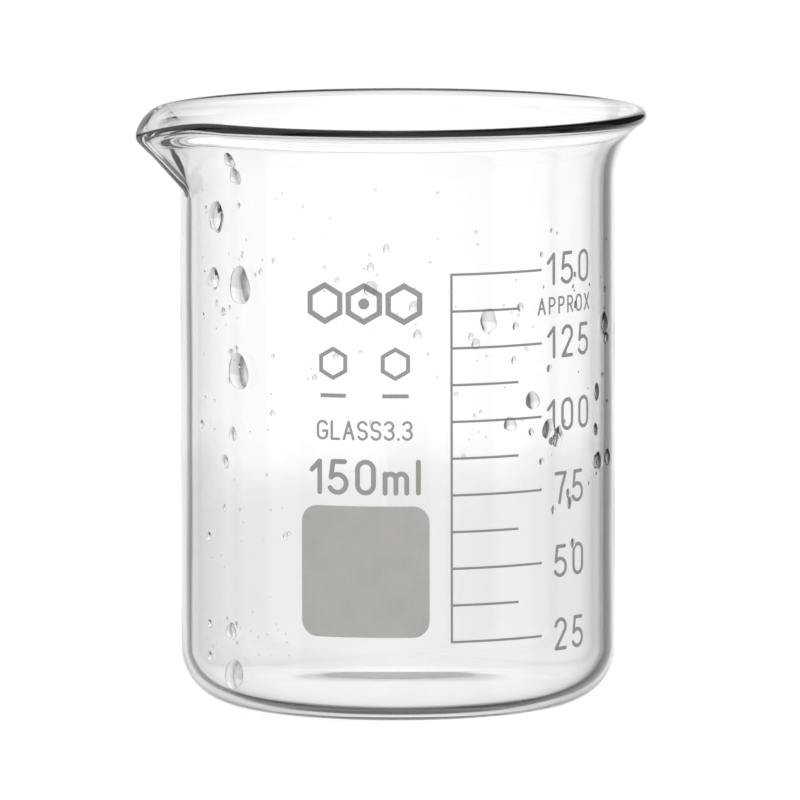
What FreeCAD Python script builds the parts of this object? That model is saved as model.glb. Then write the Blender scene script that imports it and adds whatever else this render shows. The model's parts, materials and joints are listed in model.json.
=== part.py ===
import FreeCAD, Part
import math
import os

from FreeCAD import Matrix, Vector

# A 150 ml low-form laboratory beaker, in millimetres.
#
# The vessel is one piece of borosilicate glass: a flat base, a rounded heel, a straight wall, a flared rim
# with a fire-polished bead, and a pouring spout drawn out of the rim. Everything else is fired enamel, a thin
# film that lies on the outside of the straight wall.
#
# Frame: the origin is the centre of the base on the surface that the beaker stands on, +Z is up, and the
# spout points along -X. A place round the wall is an azimuth in degrees, 0 at -Y (the front) and positive
# towards +X, which is to the right for someone who faces the front. The spout is at azimuth -90.

# ---- glass ----
BODY_DIAMETER = 60.0
HEIGHT = 82.0
WALL = 1.5
BASE_THICKNESS = 1.6
HEEL_RADIUS = 7.5

# ---- rim ----
RIM_OVERHANG = 4.4        # how far the rim stands out past the straight wall
RIM_BEAD_RADIUS = 0.95    # half the thickness of the fire-polished lip
FLARE_ANGLE = 48.0        # how far the lip leans out from the vertical
LIP_STRAIGHT = 0.3        # straight run between the flare and the bead

# ---- spout ----
SPOUT_AZIMUTH = -90.0
SPOUT_HALF_ANGLE = 30.0   # where the rim starts to leave its circle, each side of the spout
SPOUT_REACH = 2.5         # how far the spout's tip stands out past the rim
SPOUT_DROP = 2.3          # how far the spout's tip lies below the rim
SPOUT_LEAN = 42.0         # how far the spout's floor leans out from the vertical
SPOUT_THROAT_RADIUS = 2.0
SPOUT_TIP_ROUNDING = 0.1  # share of the half angle over which the tip is rounded off
SPOUT_SECTION_STEP = 2.5  # degrees between the spout's cross-sections
SPOUT_MARGIN_ANGLE = 5.0  # plain rim that is lofted with the spout, each side
SPOUT_MARGIN_HEIGHT = 2.0

# ---- enamel print ----
FILM = 0.04
PRESS_DEPTH = 8.0         # depth of the flat shapes that are pressed on to the wall to cut the film
LINE = 0.33               # width of the scale's lines
MARK_VOLUMES = (25.0, 37.5, 50.0, 62.5, 75.0, 87.5, 100.0, 112.5, 125.0, 137.5, 150.0)
NUMBERED_STEP = 25.0      # every mark at a multiple of this has a figure
LOWEST_MARK_HEIGHT = 11.6
TOP_MARK_BELOW_WALL = 8.35  # the top mark lies this far below the end of the straight wall
LONG_MARK = 14.0
SHORT_MARK = 10.0
FIGURE_OFFSET = 19.6      # round the wall, from the stem to the middle of the figures
FIGURE_HEIGHT = 4.5
FIGURE_STROKE = 0.5
FIGURE_GAP = 1.25
APPROX_OFFSET = 18.9
APPROX_HEIGHT = 2.4
APPROX_STROKE = 0.3
APPROX_GAP = 0.56
COLUMN_OFFSET = 12.0      # round the wall, from the stem to the middle of the patch's column
PATCH_WIDTH = 17.8
PATCH_CORNER = 2.3
PATCH_ABOVE_LOWEST_MARK = 0.7
PATCH_BELOW_MIDDLE_MARK = 1.4
CAPACITY_HEIGHT = 4.9
CAPACITY_STROKE = 0.68
CAPACITY_GAP = 0.9
CAPACITY_ABOVE_MIDDLE_MARK = 0.1
GRADE_HEIGHT = 2.7
GRADE_STROKE = 0.34
GRADE_GAP = 0.33
GRADE_ABOVE_CAPACITY = 2.6
CELL_RADIUS = 2.9        # centre to corner of the decorative mark's hexagons
CELL_STROKE = 0.75
CELL_GAP = 0.45
MARK_BELOW_TOP_MARK = 1.0
DOT_RADIUS = 0.75
PAIR_RADIUS = 2.3         # centre to corner of the two smaller hexagons
PAIR_STROKE = 0.55
PAIR_SPREAD = 4.3         # from the column's middle to the middle of each
PAIR_DROP = 8.2           # below the middle of the larger ones
RULE_WIDTH = 3.6
RULE_HEIGHT = 0.55
RULE_DROP = 12.6

# ---- worked out from the sizes above ----
BODY_RADIUS = BODY_DIAMETER / 2
INNER_RADIUS = BODY_RADIUS - WALL
INNER_HEEL_RADIUS = HEEL_RADIUS - WALL
UP = Vector(0, 0, 1)
ORIGIN = Vector(0, 0, 0)


# =====================================================================================================
# Vessel
# =====================================================================================================

class LipSection:
    """The flare and the lip in one upright plane through the axis.

    pull is 0 on the plain rim and 1 in the middle of the spout. The outer line runs straight up the wall,
    turns outwards on an arc, runs straight to the lip, and the inner line is parallel to it.
    """

    def __init__(self, pull):
        self.bead_r = BODY_RADIUS + RIM_OVERHANG - RIM_BEAD_RADIUS + pull * SPOUT_REACH
        self.bead_z = HEIGHT - RIM_BEAD_RADIUS - pull * SPOUT_DROP
        lean = math.radians(FLARE_ANGLE + pull * (SPOUT_LEAN - FLARE_ANGLE))
        self.lean = lean
        self.along = (math.sin(lean), math.cos(lean))
        self.inward = (-math.cos(lean), math.sin(lean))
        set_back = math.sqrt(RIM_BEAD_RADIUS ** 2 - (WALL / 2) ** 2)
        self.lip_outer = self.step((self.bead_r, self.bead_z), -set_back, -WALL / 2)
        self.lip_inner = self.step((self.bead_r, self.bead_z), -set_back, WALL / 2)
        overhang = self.lip_outer[0] - BODY_RADIUS
        self.arc_radius = self.flare_radius() + pull * (SPOUT_THROAT_RADIUS - self.flare_radius())
        self.straight = (overhang - self.arc_radius * (1 - math.cos(lean))) / math.sin(lean)
        self.start_z = (self.lip_outer[1] - self.straight * math.cos(lean)
                        - self.arc_radius * math.sin(lean))

    def step(self, point, along, inward):
        """A point moved along the lip and in through its thickness."""
        return (point[0] + along * self.along[0] + inward * self.inward[0],
                point[1] + along * self.along[1] + inward * self.inward[1])

    @staticmethod
    def flare_radius():
        """The plain rim's flare, which turns the wall to the lip's lean within the overhang."""
        lean = math.radians(FLARE_ANGLE)
        set_back = math.sqrt(RIM_BEAD_RADIUS ** 2 - (WALL / 2) ** 2)
        lip = RIM_OVERHANG - RIM_BEAD_RADIUS - set_back * math.sin(lean) + WALL / 2 * math.cos(lean)
        return (lip - LIP_STRAIGHT * math.sin(lean)) / (1 - math.cos(lean))

    def arc_point(self, turn, inset):
        """A point on the flare's arc, turn radians up from the wall, inset into the glass."""
        radius = self.arc_radius + inset
        return (BODY_RADIUS + self.arc_radius - radius * math.cos(turn),
                self.start_z + radius * math.sin(turn))

    def wire(self, foot_z, azimuth):
        """The closed outline of the glass above foot_z, in the upright plane at an azimuth."""
        def place(point):
            return on_plane(point[0], point[1], azimuth)

        def flare(inset):
            return [place(self.arc_point(turn, inset)) for turn in (0, self.lean / 2, self.lean)]

        outer, inner = flare(0), flare(WALL)
        bead_top = self.step((self.bead_r, self.bead_z), RIM_BEAD_RADIUS, 0)
        lip_outer, lip_inner = place(self.lip_outer), place(self.lip_inner)
        outer_foot = on_plane(BODY_RADIUS, foot_z, azimuth)
        inner_foot = on_plane(INNER_RADIUS, foot_z, azimuth)
        edges = [
            Part.LineSegment(outer_foot, outer[0]),
            Part.Arc(outer[0], outer[1], outer[2]),
            Part.LineSegment(outer[2], lip_outer),
            Part.Arc(lip_outer, place(bead_top), lip_inner),
            Part.LineSegment(lip_inner, inner[2]),
            Part.Arc(inner[2], inner[1], inner[0]),
            Part.LineSegment(inner[0], inner_foot),
            Part.LineSegment(inner_foot, outer_foot),
        ]
        return Part.Wire([edge.toShape() for edge in edges])


def on_plane(r, z, azimuth):
    """A point at radius r and height z in the upright plane at an azimuth."""
    angle = math.radians(azimuth)
    return Vector(r * math.sin(angle), -r * math.cos(angle), z)


def collar_height():
    """Height where the rim and the spout are built on to the straight wall."""
    return LipSection(1.0).start_z - SPOUT_MARGIN_HEIGHT


def make_cup():
    """Base, heel and straight wall, up to the collar."""
    top = collar_height()
    heel_turn = math.sqrt(0.5)
    heel_r = BODY_RADIUS - HEEL_RADIUS
    inner_heel_z = BASE_THICKNESS + INNER_HEEL_RADIUS

    def heel(radius, centre_z):
        middle = on_plane(heel_r + radius * heel_turn, centre_z - radius * heel_turn, 0)
        return Part.Arc(on_plane(heel_r, centre_z - radius, 0), middle,
                        on_plane(heel_r + radius, centre_z, 0))

    edges = [
        Part.LineSegment(ORIGIN, on_plane(heel_r, 0, 0)),
        heel(HEEL_RADIUS, HEEL_RADIUS),
        Part.LineSegment(on_plane(BODY_RADIUS, HEEL_RADIUS, 0), on_plane(BODY_RADIUS, top, 0)),
        Part.LineSegment(on_plane(BODY_RADIUS, top, 0), on_plane(INNER_RADIUS, top, 0)),
        Part.LineSegment(on_plane(INNER_RADIUS, top, 0), on_plane(INNER_RADIUS, inner_heel_z, 0)),
        heel(INNER_HEEL_RADIUS, inner_heel_z),
        Part.LineSegment(on_plane(heel_r, BASE_THICKNESS, 0), Vector(0, 0, BASE_THICKNESS)),
        Part.LineSegment(Vector(0, 0, BASE_THICKNESS), ORIGIN),
    ]
    outline = Part.Wire(Part.__sortEdges__([edge.toShape() for edge in edges]))
    return Part.Face(outline).revolve(ORIGIN, UP, 360)


def make_plain_rim():
    """The flared rim all round, except for the sector that the spout takes."""
    half = SPOUT_HALF_ANGLE + SPOUT_MARGIN_ANGLE
    outline = LipSection(0.0).wire(collar_height(), SPOUT_AZIMUTH + half)
    return Part.Face(outline).revolve(ORIGIN, UP, 360 - 2 * half)


def spout_pull(offset):
    """How far the rim is drawn out at an angle from the spout: 1 at its tip and 0 where it ends."""
    def distance(share):
        return math.hypot(share, SPOUT_TIP_ROUNDING) - SPOUT_TIP_ROUNDING

    share = min(1.0, abs(offset) / SPOUT_HALF_ANGLE)
    return (1 - distance(share) / distance(1.0)) ** 2


def make_spout():
    """The sector of rim that is drawn out and down, lofted through its upright cross-sections."""
    half = SPOUT_HALF_ANGLE + SPOUT_MARGIN_ANGLE
    steps = round(2 * half / SPOUT_SECTION_STEP)
    sections = []
    for step in range(steps + 1):
        offset = -half + step * 2 * half / steps
        section = LipSection(spout_pull(offset))
        sections.append(section.wire(collar_height(), SPOUT_AZIMUTH + offset))
    return Part.makeLoft(sections, True, False)


def make_vessel():
    """The whole glass as one solid."""
    whole = make_cup().multiFuse([make_plain_rim(), make_spout()], 1e-5).removeSplitter()
    return whole.Solids[0]


# =====================================================================================================
# Enamel
# =====================================================================================================

def make_film_ring(low, high):
    """A full ring of film on the wall between two heights."""
    outer = Part.makeCylinder(BODY_RADIUS + FILM, high - low, Vector(0, 0, low))
    return outer.cut(Part.makeCylinder(BODY_RADIUS, high - low, Vector(0, 0, low)))


def make_film_block(left, right, low, high):
    """A block of film between two arc lengths round the wall from the stem, and two heights."""
    angle = math.degrees((right - left) / BODY_RADIUS)
    height = high - low
    foot = Vector(0, 0, low)
    outer = Part.makeCylinder(BODY_RADIUS + FILM, height, foot, UP, angle)
    block = outer.cut(Part.makeCylinder(BODY_RADIUS, height, foot, UP, 360))
    block.rotate(ORIGIN, UP, math.degrees(left / BODY_RADIUS) - 90)
    return block


def to_wall(flat, offset, height):
    """Turn a flat solid, drawn about the origin in XY, to lie across the wall at an arc length and height."""
    angle = offset / BODY_RADIUS
    x, y = math.cos(angle), math.sin(angle)
    out_x, out_y = y * BODY_RADIUS, -x * BODY_RADIUS
    placed = flat.copy()
    placed.transformShape(Matrix(x, 0, y, out_x, y, 0, -x, out_y, 0, 1, 0, height, 0, 0, 0, 1))
    return placed


def wrap(flat, offset, height):
    """The film that a flat solid covers when it is pressed on to the wall."""
    placed = to_wall(flat, offset, height)
    box = placed.BoundBox
    return placed.common(make_film_ring(box.ZMin - 1, box.ZMax + 1)).Solids


def thicken(outline):
    """A solid from a flat outline, half in front of XY and half behind it."""
    face = Part.Face(outline)
    face.translate(Vector(0, 0, -PRESS_DEPTH / 2))
    return face.extrude(Vector(0, 0, PRESS_DEPTH))


def pen_line(start, end, stroke):
    """A straight pen stroke with round ends."""
    along = Vector(end[0] - start[0], end[1] - start[1], 0)
    first, last = Vector(start[0], start[1], 0), Vector(end[0], end[1], 0)
    along.normalize()
    side = Vector(-along.y, along.x, 0) * (stroke / 2)
    nose = along * (stroke / 2)
    edges = [
        Part.LineSegment(first - side, last - side),
        Part.Arc(last - side, last + nose, last + side),
        Part.LineSegment(last + side, first + side),
        Part.Arc(first + side, first - nose, first - side),
    ]
    return thicken(Part.Wire([edge.toShape() for edge in edges]))


def pen_arc(centre, radius, start, end, stroke):
    """A pen stroke along part of a circle, from one angle to another in degrees, with round ends."""
    def point(r, angle):
        turn = math.radians(angle)
        return Vector(centre[0] + r * math.cos(turn), centre[1] + r * math.sin(turn), 0)

    low, high = min(start, end), max(start, end)
    middle, half = (low + high) / 2, stroke / 2

    def cap(angle, sign):
        turn = math.radians(angle)
        return point(radius, angle) + Vector(-math.sin(turn), math.cos(turn), 0) * (sign * half)

    edges = [
        Part.Arc(point(radius + half, low), point(radius + half, middle), point(radius + half, high)),
        Part.Arc(point(radius + half, high), cap(high, 1), point(radius - half, high)),
        Part.Arc(point(radius - half, high), point(radius - half, middle), point(radius - half, low)),
        Part.Arc(point(radius - half, low), cap(low, -1), point(radius + half, low)),
    ]
    return thicken(Part.Wire([edge.toShape() for edge in edges]))


# Each character is its width and the pen's moves: a move of four numbers is a straight line from x, y to
# x, y, and a move of five is part of a circle: centre x, y, radius, first and last angle. The pen's middle
# stays within a box one unit high, with its foot at 0.
CHARACTERS = {
    "0": (0.52, [(0.26, 0.74, 0.26, 0, 180), (0, 0.74, 0, 0.26), (0.26, 0.26, 0.26, 180, 360),
                 (0.52, 0.26, 0.52, 0.74)]),
    "1": (0.27, [(0, 0.72, 0.27, 1), (0.27, 1, 0.27, 0)]),
    "2": (0.5, [(0.25, 0.75, 0.25, -36, 172), (0.452, 0.603, 0, 0), (0, 0, 0.5, 0)]),
    "3": (0.48, [(0.22, 0.76, 0.24, -90, 155), (0.22, 0.26, 0.26, -155, 90)]),
    "5": (0.52, [(0.47, 1, 0.08, 1), (0.08, 1, 0.014, 0.484), (0.23, 0.29, 0.29, -150, 138)]),
    "7": (0.5, [(0, 1, 0.5, 1), (0.5, 1, 0.29, 0.5), (0.29, 0.5, 0.19, 0)]),
    "A": (0.56, [(0, 0, 0.28, 1), (0.28, 1, 0.56, 0), (0.1, 0.35, 0.46, 0.35)]),
    "G": (0.56, [(0.28, 0.72, 0.28, 25, 180), (0, 0.72, 0, 0.28), (0.28, 0.28, 0.28, 180, 360),
                 (0.56, 0.28, 0.56, 0.45), (0.56, 0.45, 0.32, 0.45)]),
    "L": (0.44, [(0, 1, 0, 0), (0, 0, 0.44, 0)]),
    "O": (0.58, [(0.29, 0.71, 0.29, 0, 180), (0, 0.71, 0, 0.29), (0.29, 0.29, 0.29, 180, 360),
                 (0.58, 0.29, 0.58, 0.71)]),
    "P": (0.48, [(0, 0, 0, 1), (0, 1, 0.22, 1), (0.22, 0.74, 0.26, -90, 90), (0.22, 0.48, 0, 0.48)]),
    "R": (0.5, [(0, 0, 0, 1), (0, 1, 0.22, 1), (0.22, 0.74, 0.26, -90, 90), (0.22, 0.48, 0, 0.48),
                (0.24, 0.48, 0.5, 0)]),
    "S": (0.5, [(0.25, 0.75, 0.25, 25, 270), (0.25, 0.25, 0.25, -155, 90)]),
    "X": (0.54, [(0, 0, 0.54, 1), (0, 1, 0.54, 0)]),
    "l": (0.0, [(0, 0, 0, 1)]),
    "m": (0.7, [(0, 0, 0, 0.62), (0.175, 0.445, 0.175, 0, 180), (0.35, 0.445, 0.35, 0),
                (0.525, 0.445, 0.175, 0, 180), (0.7, 0.445, 0.7, 0)]),
    ".": (0.0, [(0, 0, 0, 0.02)]),
    " ": (0.1, []),
}


def make_character(name, height, stroke):
    """One flat character as a solid, with the left and the foot of its box at the origin."""
    scale = height - stroke
    strokes = []
    for move in CHARACTERS[name][1]:
        if len(move) == 4:
            start = (move[0] * scale, move[1] * scale)
            end = (move[2] * scale, move[3] * scale)
            strokes.append(pen_line(start, end, stroke))
        else:
            centre = (move[0] * scale, move[1] * scale)
            strokes.append(pen_arc(centre, move[2] * scale, move[3], move[4], stroke))
    whole = strokes[0]
    if len(strokes) > 1:
        whole = whole.multiFuse(strokes[1:]).removeSplitter()
    whole.translate(Vector(stroke / 2, stroke / 2, 0))
    return whole


def make_text(text, offset, foot, height, stroke, gap):
    """A row of characters about an arc length round the wall, standing on a height."""
    widths = [CHARACTERS[name][0] * (height - stroke) + stroke for name in text]
    left = offset - (sum(widths) + gap * (len(text) - 1)) / 2
    solids = []
    for name, width in zip(text, widths):
        if CHARACTERS[name][1]:
            flat = make_character(name, height, stroke)
            flat.translate(Vector(-width / 2, 0, 0))
            solids += wrap(flat, left + width / 2, foot)
        left += width + gap
    return Part.makeCompound(solids)


def mark_height(volume):
    """Height of a mark, from the lowest one up to the top one."""
    top = LipSection(1.0).start_z - TOP_MARK_BELOW_WALL
    share = (volume - MARK_VOLUMES[0]) / (MARK_VOLUMES[-1] - MARK_VOLUMES[0])
    return LOWEST_MARK_HEIGHT + share * (top - LOWEST_MARK_HEIGHT)


def is_numbered(volume):
    """Whether a mark is a long one with a figure."""
    return volume % NUMBERED_STEP == 0


def make_scale():
    """The stem and its cross marks as one film."""
    half = LINE / 2
    stem = make_film_block(-half, half, mark_height(MARK_VOLUMES[0]) - half,
                           mark_height(MARK_VOLUMES[-1]) + half)
    marks = []
    for volume in MARK_VOLUMES:
        length = LONG_MARK if is_numbered(volume) else SHORT_MARK
        height = mark_height(volume)
        marks.append(make_film_block(-half, length, height - half, height + half))
    return stem.multiFuse(marks).removeSplitter().Solids[0]


def make_figure(volume):
    """The figure beside a long mark, centred on it."""
    foot = mark_height(volume) - FIGURE_HEIGHT / 2
    return make_text(str(int(volume)), FIGURE_OFFSET, foot, FIGURE_HEIGHT, FIGURE_STROKE, FIGURE_GAP)


def make_approx_mark():
    """The word that says the marks are approximate, midway between the two highest figures."""
    middle = (mark_height(MARK_VOLUMES[-1]) + mark_height(MARK_VOLUMES[-1] - NUMBERED_STEP)) / 2
    foot = middle - APPROX_HEIGHT / 2
    return make_text("APPROX", APPROX_OFFSET, foot, APPROX_HEIGHT, APPROX_STROKE, APPROX_GAP)


def middle_mark_height():
    """Height of the mark that parts the writing patch from the capacity."""
    return mark_height(75.0)


def make_writing_patch():
    """The solid block with rounded corners that can be written on in pencil."""
    low = mark_height(MARK_VOLUMES[0]) + PATCH_ABOVE_LOWEST_MARK
    high = middle_mark_height() - PATCH_BELOW_MIDDLE_MARK
    chord = 2 * BODY_RADIUS * math.sin(PATCH_WIDTH / 2 / BODY_RADIUS)
    flat = rounded_rectangle(chord, high - low, PATCH_CORNER)
    return wrap(flat, -COLUMN_OFFSET, (low + high) / 2)[0]


def rounded_rectangle(width, height, corner):
    """A flat rectangle about the origin with rounded corners."""
    half_w, half_h = width / 2, height / 2
    inset = corner * (1 - math.sqrt(0.5))
    edges = []
    for quarter in range(4):
        across, up = (half_w, half_h) if quarter % 2 == 0 else (half_h, half_w)
        side = Part.LineSegment(Vector(across, corner - up, 0), Vector(across, up - corner, 0))
        bend = Part.Arc(Vector(across, up - corner, 0), Vector(across - inset, up - inset, 0),
                        Vector(across - corner, up, 0))
        for curve in (side, bend):
            edge = curve.toShape()
            edge.rotate(ORIGIN, UP, 90 * quarter)
            edges.append(edge)
    return thicken(Part.Wire(edges))


def capacity_foot():
    """Height that the capacity stands on."""
    return middle_mark_height() + CAPACITY_ABOVE_MIDDLE_MARK


def make_capacity_mark():
    """The nominal capacity, over the writing patch."""
    return make_text("150ml", -COLUMN_OFFSET, capacity_foot(), CAPACITY_HEIGHT, CAPACITY_STROKE, CAPACITY_GAP)


def make_glass_grade_mark():
    """The plain line over the capacity that says what glass this is."""
    foot = capacity_foot() + CAPACITY_HEIGHT + GRADE_ABOVE_CAPACITY
    return make_text("GLASS3.3", -COLUMN_OFFSET, foot, GRADE_HEIGHT, GRADE_STROKE, GRADE_GAP)


def hexagon(radius):
    """A flat hexagon with a corner at the top."""
    corners = [Vector(radius * math.sin(math.radians(60 * k)), radius * math.cos(math.radians(60 * k)), 0)
               for k in range(7)]
    return thicken(Part.makePolygon(corners))


def make_decorative_mark():
    """A plain row of hexagon rings with a dot in the middle one, over two smaller rings and their rules."""
    def ring(radius, stroke):
        return hexagon(radius).cut(hexagon(radius - stroke / math.cos(math.radians(30))))

    middle = mark_height(MARK_VOLUMES[-1]) - MARK_BELOW_TOP_MARK - CELL_RADIUS
    pitch = 2 * CELL_RADIUS * math.cos(math.radians(30)) + CELL_GAP
    rule_z = middle - RULE_DROP
    solids = wrap(thicken(Part.Wire(Part.makeCircle(DOT_RADIUS))), -COLUMN_OFFSET, middle)
    for place in (-1, 0, 1):
        solids += wrap(ring(CELL_RADIUS, CELL_STROKE), -COLUMN_OFFSET + place * pitch, middle)
    for side in (-1, 1):
        across = -COLUMN_OFFSET + side * PAIR_SPREAD
        solids += wrap(ring(PAIR_RADIUS, PAIR_STROKE), across, middle - PAIR_DROP)
        solids.append(make_film_block(across - RULE_WIDTH / 2, across + RULE_WIDTH / 2,
                                      rule_z - RULE_HEIGHT / 2, rule_z + RULE_HEIGHT / 2))
    return Part.makeCompound(solids)


def main():
    """Build every node and write it."""
    os.makedirs("parts", exist_ok=True)
    nodes = {
        "glass_vessel": make_vessel(),
        "graduation_scale": make_scale(),
        "approx_mark": make_approx_mark(),
        "writing_patch": make_writing_patch(),
        "capacity_mark": make_capacity_mark(),
        "glass_grade_mark": make_glass_grade_mark(),
        "decorative_mark": make_decorative_mark(),
    }
    for volume in MARK_VOLUMES:
        if is_numbered(volume):
            nodes[f"numeral_{int(volume)}"] = make_figure(volume)
    for name, shape in nodes.items():
        shape.exportStep(f"parts/{name}.step")
        print(name, len(shape.Solids), "solids, valid", shape.isValid(), round(shape.Volume, 4), "mm3")


main()
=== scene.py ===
import json
import logging
import math
import random
from dataclasses import dataclass, field
from enum import Enum

import bmesh
import bpy
import numpy as np
from mathutils import Matrix, Vector, noise
from mathutils.geometry import delaunay_2d_cdt


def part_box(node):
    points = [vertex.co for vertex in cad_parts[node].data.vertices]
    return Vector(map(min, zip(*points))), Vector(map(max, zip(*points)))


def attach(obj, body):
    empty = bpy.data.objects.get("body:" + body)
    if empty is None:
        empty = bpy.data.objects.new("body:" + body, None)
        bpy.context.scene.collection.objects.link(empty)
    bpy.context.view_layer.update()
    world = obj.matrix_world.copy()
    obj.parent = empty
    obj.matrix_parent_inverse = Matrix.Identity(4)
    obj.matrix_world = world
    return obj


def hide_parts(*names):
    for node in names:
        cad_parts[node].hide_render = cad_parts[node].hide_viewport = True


# The looks of a 150 ml low-form laboratory beaker: clear glass, fired enamel print and drops of water.
# Lengths are in metres and angles in degrees unless a name says otherwise. A place round the wall is an
# azimuth, 0 at -Y (the front) and positive towards +X. The spout points along -X.

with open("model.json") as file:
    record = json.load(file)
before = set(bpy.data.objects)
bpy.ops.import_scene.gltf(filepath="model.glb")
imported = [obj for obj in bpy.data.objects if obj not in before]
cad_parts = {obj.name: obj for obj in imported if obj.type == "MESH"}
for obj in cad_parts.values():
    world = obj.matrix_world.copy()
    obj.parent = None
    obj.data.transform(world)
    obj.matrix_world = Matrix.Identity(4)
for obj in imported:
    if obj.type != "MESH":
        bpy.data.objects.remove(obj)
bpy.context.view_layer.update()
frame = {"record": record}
MM = 0.001
LOG = logging.getLogger("beaker")

Point2 = tuple[float, float]
Outline = list[Point2]
Tint = tuple[float, float, float]

HEXAGON_FLAT = math.cos(math.radians(30))  # centre to flat side, over centre to corner
CAP_STEPS = 8
CORNER_STEPS = 10


def mount_radius(name: str) -> float:
    """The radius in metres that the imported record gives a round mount.

    Args:
        name: the mount's name.

    Returns:
        The radius of the wall that the mount stands for.
    """
    mount = next(m for m in frame["record"]["mounts"] if m["name"] == name)
    return mount["dims"]["r_mm"] * MM


WALL = 1.5 * MM
INNER_RADIUS = mount_radius("inside")
BODY_RADIUS = INNER_RADIUS + WALL
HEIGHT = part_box("glass_vessel")[1].z


def around(radius: float, azimuth: float, height: float) -> Vector:
    """A point at a radius, an azimuth in radians and a height."""
    return Vector((radius * math.sin(azimuth), -radius * math.cos(azimuth), height))


def smooth_step(value: float) -> float:
    """0 below 0, 1 above 1, and a smooth rise between them."""
    clipped = min(1.0, max(0.0, value))
    return clipped * clipped * (3 - 2 * clipped)


def add_object(name: str, mesh: bpy.types.Mesh, smooth: bool) -> bpy.types.Object:
    """Link a mesh into the scene as an object.

    Args:
        name: the piece's name.
        mesh: its finished mesh.
        smooth: whether its faces are shaded smooth.

    Returns:
        The new object.
    """
    mesh.polygons.foreach_set("use_smooth", [smooth] * len(mesh.polygons))
    piece = bpy.data.objects.new(name, mesh)
    bpy.context.scene.collection.objects.link(piece)
    return piece


def dress(piece: bpy.types.Object, material: bpy.types.Material) -> bpy.types.Object:
    """Give a piece its material and let it ride on the beaker.

    Args:
        piece: the object to finish.
        material: the material for all of it.

    Returns:
        The same object.
    """
    piece.data.materials.append(material)
    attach(piece, "root")
    LOG.info("%s: %d faces", piece.name, len(piece.data.polygons))
    return piece


# =====================================================================================================
# Finishes
# =====================================================================================================

class MottleGroup:
    """Cloudy variation over a surface, shared by the glass, the enamel, the water and the floor."""

    NAME = "mottle"

    @classmethod
    def get(cls) -> bpy.types.NodeTree:
        """The group, built the first time it is asked for."""
        return bpy.data.node_groups.get(cls.NAME) or cls.build()

    @classmethod
    def build(cls) -> bpy.types.NodeTree:
        """Make the group: two sizes of noise mixed, then spread between two values.

        Returns:
            The new node group.
        """
        tree = bpy.data.node_groups.new(cls.NAME, "ShaderNodeTree")
        for name, value in (("Scale", 100.0), ("Fine Scale", 1000.0), ("Fine Share", 0.4),
                            ("Low", 0.0), ("High", 1.0)):
            socket = tree.interface.new_socket(name, in_out="INPUT", socket_type="NodeSocketFloat")
            socket.default_value = value
        tree.interface.new_socket("Value", in_out="OUTPUT", socket_type="NodeSocketFloat")
        nodes, links = tree.nodes, tree.links
        given = nodes.new("NodeGroupInput")
        coords = nodes.new("ShaderNodeTexCoord")
        noises = []
        for name in ("Scale", "Fine Scale"):
            texture = nodes.new("ShaderNodeTexNoise")
            texture.inputs["Detail"].default_value = 3.0
            links.new(coords.outputs["Object"], texture.inputs["Vector"])
            links.new(given.outputs[name], texture.inputs["Scale"])
            noises.append(texture.outputs["Fac"])
        blend = nodes.new("ShaderNodeMix")
        links.new(given.outputs["Fine Share"], blend.inputs["Factor"])
        links.new(noises[0], blend.inputs["A"])
        links.new(noises[1], blend.inputs["B"])
        spread = nodes.new("ShaderNodeMapRange")
        spread.inputs["From Min"].default_value = 0.3
        spread.inputs["From Max"].default_value = 0.7
        links.new(blend.outputs["Result"], spread.inputs["Value"])
        links.new(given.outputs["Low"], spread.inputs["To Min"])
        links.new(given.outputs["High"], spread.inputs["To Max"])
        result = nodes.new("NodeGroupOutput")
        links.new(spread.outputs["Result"], result.inputs["Value"])
        return tree


def new_material(name: str) -> tuple[bpy.types.Material, bpy.types.Node]:
    """An empty node material with one Principled shader.

    Args:
        name: the material's name.

    Returns:
        The material and its shader node.
    """
    material = bpy.data.materials.new(name)
    material.use_nodes = True
    return material, material.node_tree.nodes["Principled BSDF"]


def add_mottle(material: bpy.types.Material, scale: float, fine_scale: float, fine_share: float,
               low: float, high: float) -> bpy.types.NodeSocket:
    """Place the mottle group in a material with its own values.

    Args:
        material: the material that gets it.
        scale: the broad noise's scale, in waves a metre.
        fine_scale: the fine noise's scale.
        fine_share: how much of the result is fine noise.
        low: the value in the darkest places.
        high: the value in the lightest places.

    Returns:
        The group's output socket.
    """
    group = material.node_tree.nodes.new("ShaderNodeGroup")
    group.node_tree = MottleGroup.get()
    for name, value in (("Scale", scale), ("Fine Scale", fine_scale), ("Fine Share", fine_share),
                        ("Low", low), ("High", high)):
        group.inputs[name].default_value = value
    return group.outputs["Value"]


def add_bump(material: bpy.types.Material, shader: bpy.types.Node, height: bpy.types.NodeSocket,
             strength: float, distance: float) -> None:
    """Feed a height into a shader's normal through a bump node.

    Args:
        material: the material that holds the shader.
        shader: the shader node.
        height: the socket that gives the height.
        strength: how strongly the bump shows.
        distance: the height of a full step, in metres.
    """
    bump = material.node_tree.nodes.new("ShaderNodeBump")
    bump.inputs["Strength"].default_value = strength
    bump.inputs["Distance"].default_value = distance
    material.node_tree.links.new(height, bump.inputs["Height"])
    material.node_tree.links.new(bump.outputs["Normal"], shader.inputs["Normal"])


def add_tint(material: bpy.types.Material, shader: bpy.types.Node, share: bpy.types.NodeSocket,
             dark: Tint, light: Tint) -> None:
    """Feed a colour that runs between two tints into a shader's base colour.

    Args:
        material: the material that holds the shader.
        shader: the shader node.
        share: the socket that runs from 0 for the dark tint to 1 for the light one.
        dark: the dark tint.
        light: the light tint.
    """
    mix = material.node_tree.nodes.new("ShaderNodeMix")
    mix.data_type = "RGBA"
    mix.inputs["A"].default_value = (*dark, 1.0)
    mix.inputs["B"].default_value = (*light, 1.0)
    material.node_tree.links.new(share, mix.inputs["Factor"])
    material.node_tree.links.new(mix.outputs["Result"], shader.inputs["Base Color"])


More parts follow.
